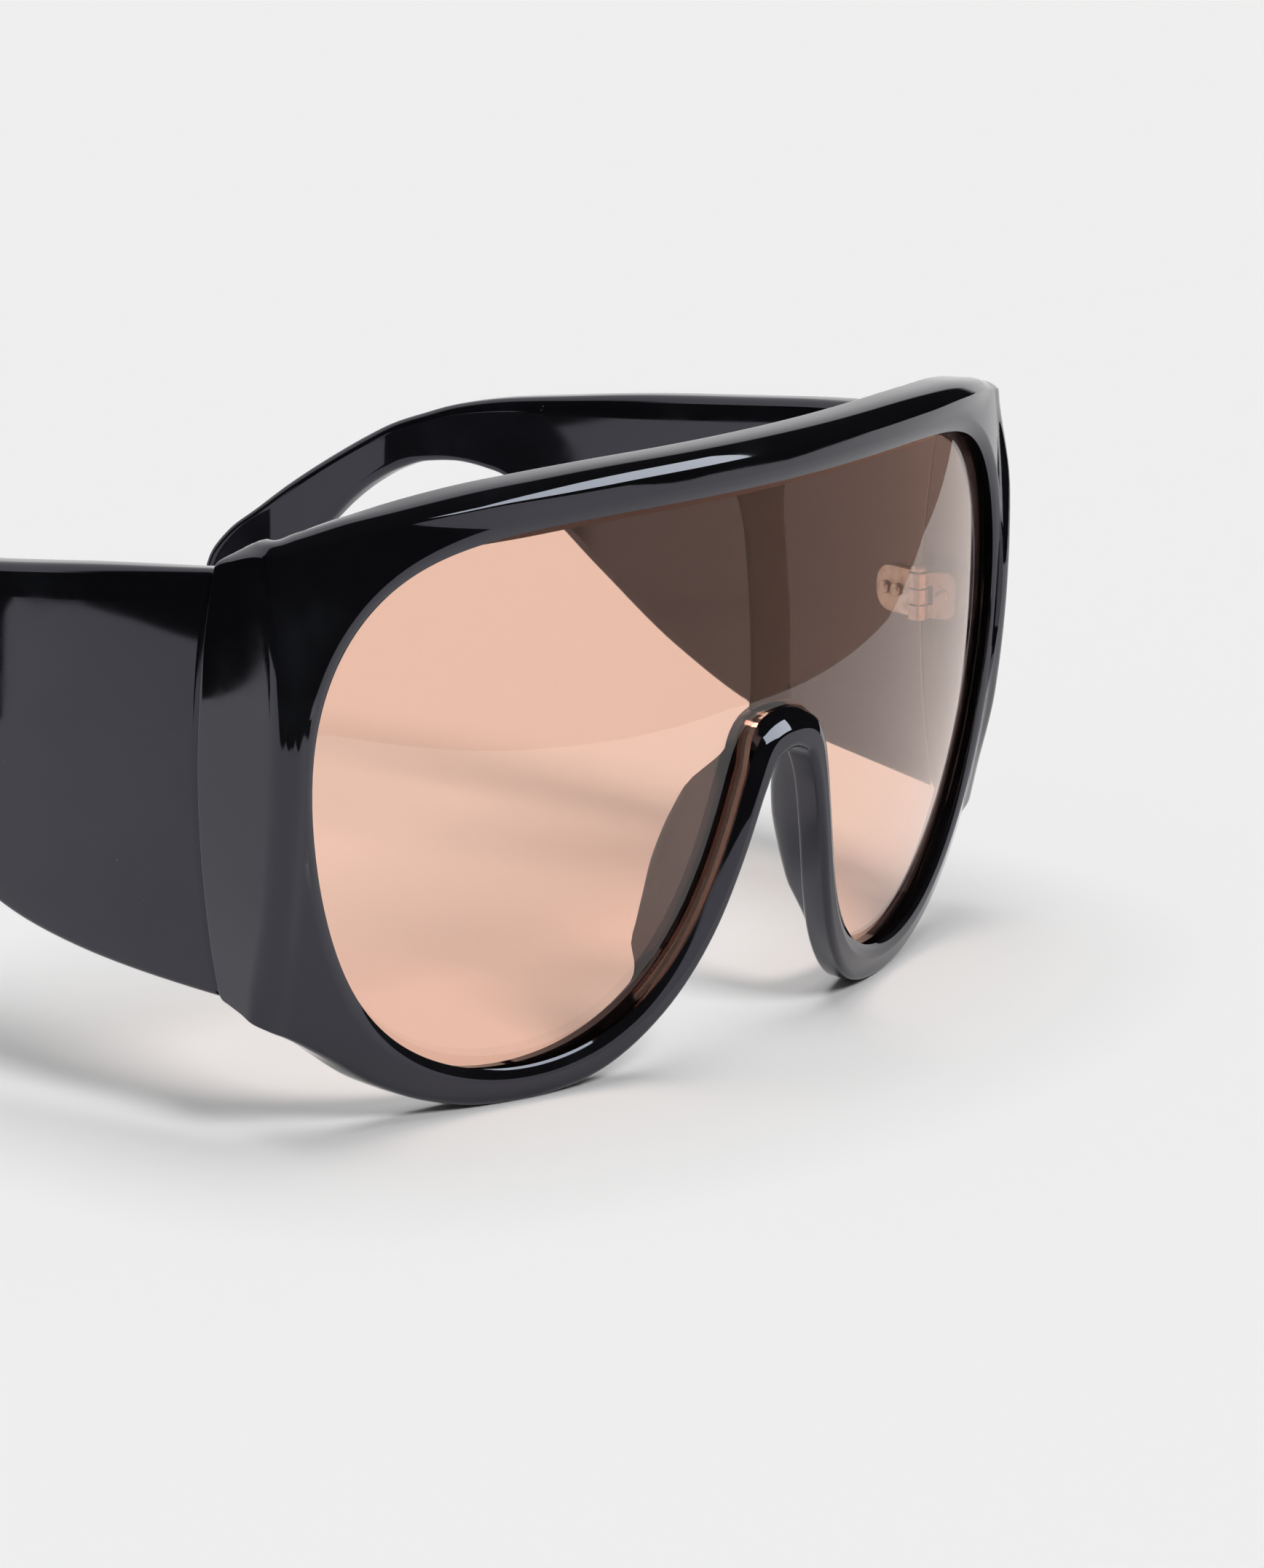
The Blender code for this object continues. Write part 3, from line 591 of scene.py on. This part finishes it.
def rimSection(place):
    # One closed section of the front, from the edge of the opening outwards and back again
    edge = openingPoint(place)
    outward = openingOutward(place)
    outer = Vector((outerWidth.at(place) * face["halfWidth"], outerHeight.at(place) * face["halfHeight"]))
    across = (edge - outer).normalized()
    half = face["halfWidth"]
    lobe = smoothShare(place, *turnShares["lobe"])
    arch = smoothShare(place, *turnShares["arch"])
    deep = blend(blend(rim["browDeep"], rim["lobeDeep"], lobe), temple["thick"],
                 smoothShare(outer.x, half, half + wingRun))
    deep = blend(deep, rim["archDeep"], arch)
    lensBack = rim["lensSetBack"] + rim["lensThick"] + rim["gap"]
    lipBack = lensBack + rim["lipThick"]

    points = []
    for step in range(rim["arcSteps"]):  # chamfered edge of the opening, slightly crowned
        share = step / rim["arcSteps"]
        crown = rim["beadCrown"] * math.sin(share * math.pi)
        points.append(facePoint(edge + outward * rim["beadWidth"] * (share - crown * rim["beadCrownOut"]),
                                rim["beadDeep"] * (1 - share - crown)))

    seam = smoothShare((outer.x - half) / wingRun, *seamShares)
    top = 1 - smoothShare(place, *turnShares["browTop"])
    curve = blend(rim["round"], rim["seamRound"], seam)
    crest = rim["topProfile"][0][0]
    near = edge + outward * rim["beadWidth"]
    far = outer + across * blend(curve, crest, top)
    tilt = rim["browTilt"] * (1 - smoothShare(place, *turnShares["tilt"]))

    def lean(spot):
        limit = rim["tiltLimit"]
        return tilt * limit * math.tanh((spot - near).length / limit)

    for step in range(rim["faceSteps"] + 1):
        spot = near.lerp(far, step / rim["faceSteps"])
        points.append(wingPoint(spot.x, spot.y, 0))
        points[-1].y -= lean(spot)
    arc = []  # rounded front and back edges, as inset from the outline and depth
    for step in range(1, rim["arcSteps"] + 1):
        angle = step / rim["arcSteps"] * math.pi / 2
        inset, depth = rim["topProfile"][step]
        arc.append((blend(curve * (1 - math.sin(angle)), inset, top),
                    blend(curve * (1 - math.cos(angle)), depth, top)))
    for step in range(rim["arcSteps"] + 1):
        angle = step / rim["arcSteps"] * math.pi / 2
        arc.append((curve * (1 - math.cos(angle)), deep - curve * (1 - math.sin(angle))))
    cornerTop = smoothShare(place, *turnShares["cornerTop"])
    cornerTop *= 1 - smoothShare(place, *turnShares["cornerEnd"])
    for inset, depth in arc:
        spot = outer + across * inset
        points.append(wingPoint(spot.x, spot.y, depth))
        points[-1].z -= rim["cornerFall"] * cornerTop * smoothShare(depth, crest, deep)
        points[-1].y -= lean(spot) * max(1 - depth / (deep - curve), 0)

    drop = rim["browLipDrop"] * (1 - smoothShare(place, *turnShares["browLip"]))
    reach = rim["lipReach"] - drop - arch * rim["ledgeOvercut"] * 2
    lip = facePoint(edge + outward * reach, lipBack)
    crease = points[-1]
    stand = padStand.at(place)
    pad = smoothShare(stand, 0, rim["padFull"])
    back = [crease]
    knuckles = ((rim["padInnerOut"] * rim["padRootOut"], stand * rim["padRoot"]),
                (rim["padInnerOut"], stand * rim["padCorner"]),
                (rim["padBackOut"], stand),
                (rim["padOuterOut"], stand * rim["padCorner"]))
    for index, (out, rise) in enumerate(knuckles, 1):
        plain = crease.lerp(lip, index / (len(knuckles) + 1))
        back.append(plain.lerp(facePoint(outer + across * out, lipBack + rise), pad))
    points += curveThrough(back + [lip], rim["backSteps"])[1:]
    points.append(facePoint(edge + outward * reach, lensBack))
    wall = wallShift(place)
    bottom = wall + rim["grooveDeep"]
    points.append(facePoint(edge + outward * bottom, lensBack))
    points.append(facePoint(edge + outward * bottom, rim["lensSetBack"] - rim["gap"]))
    points.append(facePoint(edge + outward * wall, rim["lensSetBack"] - rim["gap"]))
    if place in (0, 1):
        for point in points:
            point.x = 0
    return points


# Points closer than weld become one, and edges that turn by more than sharpAngle stay sharp
meshing = {
    "weld": 0.0000005,
    "sharpAngle": 38,
}


def put(point):
    return Vector((point.x, point.y - face["middleBack"], max(point.z + face["floorDrop"], 0)))


def makePiece(name, points, faces, body, replaced, material):
    mesh = bpy.data.meshes.new(name)
    mesh.from_pydata([put(point) for point in points], [], faces)
    item = bpy.data.objects.new(name, mesh)
    scene.collection.objects.link(item)
    shape = bmesh.new()
    shape.from_mesh(mesh)
    bmesh.ops.remove_doubles(shape, verts=shape.verts, dist=meshing["weld"])
    bmesh.ops.dissolve_degenerate(shape, edges=shape.edges, dist=meshing["weld"])
    bmesh.ops.recalc_face_normals(shape, faces=shape.faces)
    shape.to_mesh(mesh)
    shape.free()
    mesh.materials.append(material)
    bpy.ops.object.select_all(action="DESELECT")
    item.select_set(True)
    bpy.context.view_layer.objects.active = item
    bpy.ops.object.shade_smooth()
    mesh.set_sharp_from_angle(angle=math.radians(meshing["sharpAngle"]))
    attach(item, body)
    if replaced:
        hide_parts(replaced)
    return item


def loft(sections, cap):
    points = [point for section in sections for point in section]
    size = len(sections[0])
    faces = []
    for row in range(len(sections) - 1):
        for k in range(size):
            after = (k + 1) % size
            first, second = row * size, (row + 1) * size
            faces.append((first + k, first + after, second + after, second + k))
    if cap:
        for start in (0, (len(sections) - 1) * size):
            for k in range(size // 2 - 1):
                faces.append((start + k, start + k + 1, start + size - 2 - k, start + size - 1 - k))
    return points, faces


def makeFront():
    places = []
    steps = rim["stepsBetween"]
    for before, after in zip(outerShares, outerShares[1:]):
        places += [blend(before[0], after[0], step / steps) for step in range(steps)]
    points, faces = loft([rimSection(place) for place in places + [1]], False)
    front = makePiece("frontRim", points, faces, "front", "front_frame", blackGloss)
    mirror = front.modifiers.new("mirror", "MIRROR")
    mirror.use_clip = True
    mirror.merge_threshold = rim["mergeReach"]


# Rib down the middle behind the lens, wider at its foot and head
rib = {
    "halfWidth": 0.0037,
    "footHalfWidth": 0.0058,
    "headHalfWidth": 0.0066,
    "thick": 0.0009,
    "clearance": 0.0004,
    "top": 0.0372,
    "bottom": 0.0012,
    "footTall": 0.008,
    "headTall": 0.01,
    "endThin": 0.45,
    "squareness": 0.45,
    "around": 24,
    "steps": 90,
}


def makeRib():
    near = rim["lensSetBack"] + rim["lensThick"] + rib["clearance"]
    sections = []
    for step in range(rib["steps"] + 1):
        z = blend(rib["bottom"], rib["top"], step / rib["steps"])
        foot = max(1 - (z - rib["bottom"]) / rib["footTall"], 0) ** 2
        head = max(1 - (rib["top"] - z) / rib["headTall"], 0) ** 2
        half = blend(rib["halfWidth"], rib["footHalfWidth"], foot)
        half += (rib["headHalfWidth"] - rib["halfWidth"]) * head
        thick = rib["thick"] * (1 - rib["endThin"] * max(foot, head))
        section = []
        for k in range(rib["around"]):
            angle = k / rib["around"] * 2 * math.pi
            wide, deep = [math.copysign(abs(value) ** rib["squareness"], value)
                          for value in (math.cos(angle), math.sin(angle))]
            x = half * wide
            section.append(Vector((x, faceY(x, z) + near + thick * (1 - deep) / 2, z)))
        sections.append(section)
    points, faces = loft(sections, False)
    size = len(sections[0])
    faces.append(tuple(range(size)))
    faces.append(tuple(range((len(sections) - 1) * size, len(sections) * size)))
    makePiece("middleRib", points, faces, "front", None, blackDull)


# Lens, meshed in columns between its upper and lower edge
lens = {
    "edgeDeep": 0.0006,
    "outlineSteps": 420,
    "columns": 110,
    "rows": 22,
    "endShare": 0.9995,
}


def heightAt(side, x):
    for first, second in zip(side, side[1:]):
        if min(first.x, second.x) <= x <= max(first.x, second.x):
            share = (x - first.x) / (second.x - first.x) if second.x != first.x else 0
            return blend(first.y, second.y, share)
    return side[-1].y if x > side[0].x else side[0].y


def evenWidths(side, count):
    lengths = [0]
    for first, second in zip(side, side[1:]):
        lengths.append(lengths[-1] + (second - first).length)
    widths = []
    index = 0
    for step in range(count + 1):
        length = lengths[-1] * min(step / count, lens["endShare"])
        while lengths[index + 1] < length:
            index += 1
        share = (length - lengths[index]) / (lengths[index + 1] - lengths[index])
        widths.append(blend(side[index].x, side[index + 1].x, share))
    return widths


def makeLens():
    outline = []
    for step in range(lens["outlineSteps"] + 1):
        place = step / lens["outlineSteps"]
        spot = openingPoint(place) + openingOutward(place) * (wallShift(place) + lens["edgeDeep"])
        if place in (0, 1):
            spot.x = 0
        outline.append(spot)
    widest = max(range(len(outline)), key=lambda k: outline[k].x)
    top = outline[:widest + 1]
    bottom = outline[widest:][::-1]
    columns, rows = lens["columns"], lens["rows"]
    widths = evenWidths(bottom, columns)
    spots = []
    for column in range(-columns, columns + 1):
        x = math.copysign(widths[abs(column)], column)
        high, low = heightAt(top, abs(x)), heightAt(bottom, abs(x))
        spots += [Vector((x, blend(low, high, row / rows))) for row in range(rows + 1)]
    points = []
    for depth in (rim["lensSetBack"], rim["lensSetBack"] + rim["lensThick"]):
        points += [facePoint(spot, depth) for spot in spots]
    size, total = rows + 1, len(spots)
    faces = []
    for column in range(2 * columns):
        for row in range(rows):
            first = column * size + row
            quad = (first, first + size, first + size + 1, first + 1)
            faces += [quad, tuple(total + k for k in quad[::-1])]
        for row in (0, rows):
            first = column * size + row
            faces.append((first, first + size, first + size + total, first + total))
    for column in (0, 2 * columns):
        for row in range(rows):
            first = column * size + row
            faces.append((first, first + 1, first + 1 + total, first + total))
    makePiece("shieldLens", points, faces, "front", "lens", peachClear)


# Upper and lower edge of a temple behind the seam, as depth and height shares
templeEdgeShares = (
    (0.0, 0.896, 0.0, -0.637), (0.09, 0.864, 0.09, -0.587), (0.245, 0.804, 0.215, -0.49),
    (0.39, 0.752, 0.33, -0.3), (0.49, 0.709, 0.44, -0.02), (0.588, 0.664, 0.53, 0.24),
    (0.646, 0.619, 0.587, 0.347), (0.684, 0.573, 0.64, 0.376), (0.722, 0.521, 0.68, 0.364),
    (0.759, 0.45, 0.721, 0.312), (0.796, 0.37, 0.755, 0.238), (0.833, 0.284, 0.785, 0.148),
    (0.869, 0.192, 0.812, 0.045), (0.905, 0.086, 0.836, -0.045), (0.94, -0.02, 0.857, -0.14),
    (0.964, -0.15, 0.872, -0.27), (0.974, -0.33, 0.888, -0.47), (0.977, -0.58, 0.904, -0.74),
    (0.974, -0.86, 0.921, -0.99), (0.966, -1.04, 0.937, -1.1), (0.956, -1.12, 0.947, -1.135),
)


def templeSection(upper, lower, mitre):
    along = lower - upper
    tall = along.length
    along.normalize()
    curve = min(temple["round"], tall * temple["roundShare"])
    thick = temple["thick"]
    steps = []
    for step in range(temple["arcSteps"]):
        angle = step / temple["arcSteps"] * math.pi / 2
        steps.append((curve * (1 - math.cos(angle)), curve * (1 - math.sin(angle))))
    for step in range(temple["acrossSteps"] + 1):
        steps.append((blend(curve, tall - curve, step / temple["acrossSteps"]), 0))
    for step in range(1, temple["arcSteps"] + 1):
        angle = step / temple["arcSteps"] * math.pi / 2
        steps.append((tall - curve * (1 - math.sin(angle)), curve * (1 - math.cos(angle))))
    outerSide, innerSide = [], []
    for down, deep in steps:
        flat = upper + along * down
        tip = smoothShare(flat.x, temple["tipThinFrom"], temple["tipThinTo"])
        thin = thick - temple["tipThinner"] * tip
        for side, depth in ((outerSide, deep), (innerSide, thin - deep)):
            y = flat.x
            if mitre > 0:
                shift = seamOuterY(flat.y) + temple["gap"] - seamY - wing["mitre"] * depth / thick
                y += shift * mitre
            side.append(Vector((templeInnerX(y) + thick - depth, y, flat.y)))
    return outerSide + innerSide[::-1]


def makeTemple(word, side):
    rows = [(index,) + row for index, row in enumerate(templeEdgeShares)]
    edges = [Follower(rows, column) for column in (1, 2, 3, 4)]
    sections = []
    total = (len(rows) - 1) * temple["stepsBetween"]
    for step in range(total + 1):
        place = step / temple["stepsBetween"]
        upperDeep, upperHigh, lowerDeep, lowerHigh = [edge.at(place) for edge in edges]
        upper = Vector((seamY + upperDeep * temple["long"], upperHigh * face["halfHeight"]))
        lower = Vector((seamY + lowerDeep * temple["long"], lowerHigh * face["halfHeight"]))
        sections.append(templeSection(upper, lower, 1 - smoothShare(place, 0, temple["mitreRows"])))
    points, faces = loft(sections, True)
    for point in points:
        point.x *= side
    makePiece("temple" + word, points, faces, word.lower() + "_temple",
              "temple_" + word.lower(), blackGloss)


makeFront()
makeRib()
print("front made")
makeLens()
print("lens made")
makeTemple("Right", -1)
makeTemple("Left", 1)
print("temples made")

for name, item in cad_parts.items():
    if name.startswith(("hinge", "rivet")):
        for slot in item.material_slots:
            slot.material = steel
print("hinges finished")


# Table, backdrop and light. The table ends in front of and beside the glasses, as a studio table does
studio = {
    "white": 0.871,
    "tableDrop": 0.00001,
    "tableCorners": (
        (-0.4, 3.0), (-0.4, 0.1), (-0.305, 0.05), (-0.288, 0.023), (-0.262, -0.02), (-0.256, -0.055),
        (-0.246, -0.118), (-0.179, -0.19), (-0.099, -0.233), (-0.031, -0.216), (0.104, -0.199),
        (0.154, -0.178), (0.253, -0.138), (0.408, -0.116), (0.9, 0.1), (3.0, 0.6), (3.0, 3.0),
    ),
    "paperGrain": 0.995,
    "paperGrainScale": 900,
    "paperGrainDetail": 3,
    "paperRoughness": 0.9,
    # dark sheet seen only in gloss, a painted dark reflection on the near wing and temple
    "cardLift": 0.0001,
    "darkReflectionColour": (0.005, 0.005, 0.006, 1),
    "cardCorners": (
        (-0.2155, 0.1165), (-0.213, 0.15), (-0.214, 0.19), (-0.215, 0.23), (-0.2, 0.34), (-0.1, 0.9),
        (-1.2, 0.9), (-1.2, -0.05), (-0.314, 0.05), (-0.314, 0.097), (-0.309, 0.134), (-0.29, 0.17),
        (-0.276, 0.167),
    ),
    "darkWay": (-0.2, -0.98),
    "darkFrom": -0.46,
    "darkTo": -0.37,
    "dark": 0.006,
    "backdrop": 0.9,
    "fillRise": (0.1, 0.9),
    "fillLow": 0.1,
    "fillHigh": 0.17,
    "key": {"way": (-0.22, -0.95, 1.0), "power": 1.6, "wide": 19},
    "overhead": {"way": (0.05, 0.1, 1.0), "power": 1.5, "wide": 45},
    "strip": {"place": (0.33, -0.92, 0.56), "aim": (0, -0.06, 0.075), "wide": 0.95, "tall": 0.4,
              "power": 8.5, "colour": (0.92, 1.0, 0.97)},
}


def layFlat(name, corners, height, material):
    sheet = bpy.data.meshes.new(name)
    sheet.from_pydata([(x, y, height) for x, y in corners], [], [tuple(range(len(corners)))])
    sheet.materials.append(material)
    item = bpy.data.objects.new(name, sheet)
    scene.collection.objects.link(item)
    return item


def makeTable():
    material, graph = newMaterial("tablePaper")
    white = studio["white"]
    shade = white * studio["paperGrain"]
    grain = graph.noise(graph.objectPlace(), studio["paperGrainScale"], studio["paperGrainDetail"])
    colour = graph.mix(grain, (shade, shade, shade, 1), (white, white, white, 1))
    graph.finish(graph.node("ShaderNodeBsdfPrincipled", {}, {
        "Base Color": colour, "Roughness": studio["paperRoughness"], "Specular IOR Level": 0}))
    table = layFlat("table", studio["tableCorners"], -studio["tableDrop"], material)


def makeDarkReflectionCard():
    # Black card at the table's far left, seen only in the gloss of the near wing and temple: a dark sheet
    # that gives them a painted dark reflection
    material, graph = newMaterial("darkReflectionCard")
    graph.finish(graph.node("ShaderNodeBsdfDiffuse", {}, {"Color": studio["darkReflectionColour"]}))
    card = layFlat("card", studio["cardCorners"], studio["cardLift"], material)
    card.visible_camera = card.visible_diffuse = card.visible_transmission = card.visible_shadow = False


def addLamp(name, data, way):
    item = bpy.data.objects.new(name, data)
    item.rotation_mode = "QUATERNION"
    item.rotation_quaternion = Vector(way).to_track_quat("-Z", "Y")
    item.visible_camera = False
    scene.collection.objects.link(item)
    return item


def makeSun(name, look):
    # Soft light that lights and shadows the table, and is not seen in the gloss
    data = bpy.data.lights.new(name, "SUN")
    data.energy = look["power"]
    data.angle = math.radians(look["wide"])
    addLamp(name, data, -Vector(look["way"])).visible_glossy = False


def makeStrip():
    # Softbox seen only in the gloss, along the brow
    look = studio["strip"]
    data = bpy.data.lights.new("strip", "AREA")
    data.shape = "RECTANGLE"
    data.size = look["wide"]
    data.size_y = look["tall"]
    data.energy = look["power"]
    data.color = look["colour"]
    strip = addLamp("strip", data, Vector(look["aim"]) - Vector(look["place"]))
    strip.location = look["place"]
    strip.visible_diffuse = False


def makeWorld():
    world = bpy.data.worlds.new("studio")
    scene.world = world
    world.use_nodes = True
    graph = Graph(world.node_tree)
    way = graph.node("ShaderNodeTexCoord", result="Generated")
    parts = {name: graph.node("ShaderNodeSeparateXYZ", {}, {0: way}, name) for name in "XYZ"}
    ahead = parts["X"] * studio["darkWay"][0] + parts["Y"] * studio["darkWay"][1]
    gloss = graph.rise(ahead, studio["darkFrom"], studio["darkTo"], studio["backdrop"], studio["dark"])
    fill = graph.rise(parts["Z"], *studio["fillRise"], studio["fillLow"], studio["fillHigh"])
    eye = graph.node("ShaderNodeLightPath", result="Is Camera Ray")
    through = graph.node("ShaderNodeLightPath", result="Is Transmission Ray")
    spread = graph.node("ShaderNodeLightPath", result="Is Diffuse Ray")
    plain = graph.node("ShaderNodeMath", {"operation": "MAXIMUM"}, {0: eye, 1: through})
    strength = plain * studio["white"] + (1 - plain) * (spread * fill + (1 - spread) * gloss)
    shader = graph.node("ShaderNodeBackground", {}, {"Color": (1, 1, 1, 1), "Strength": strength})
    graph.node("ShaderNodeOutputWorld", {}, {"Surface": shader})


makeTable()
makeDarkReflectionCard()
makeSun("keyLight", studio["key"])
makeSun("overheadLight", studio["overhead"])
makeStrip()
makeWorld()
print("studio lit")
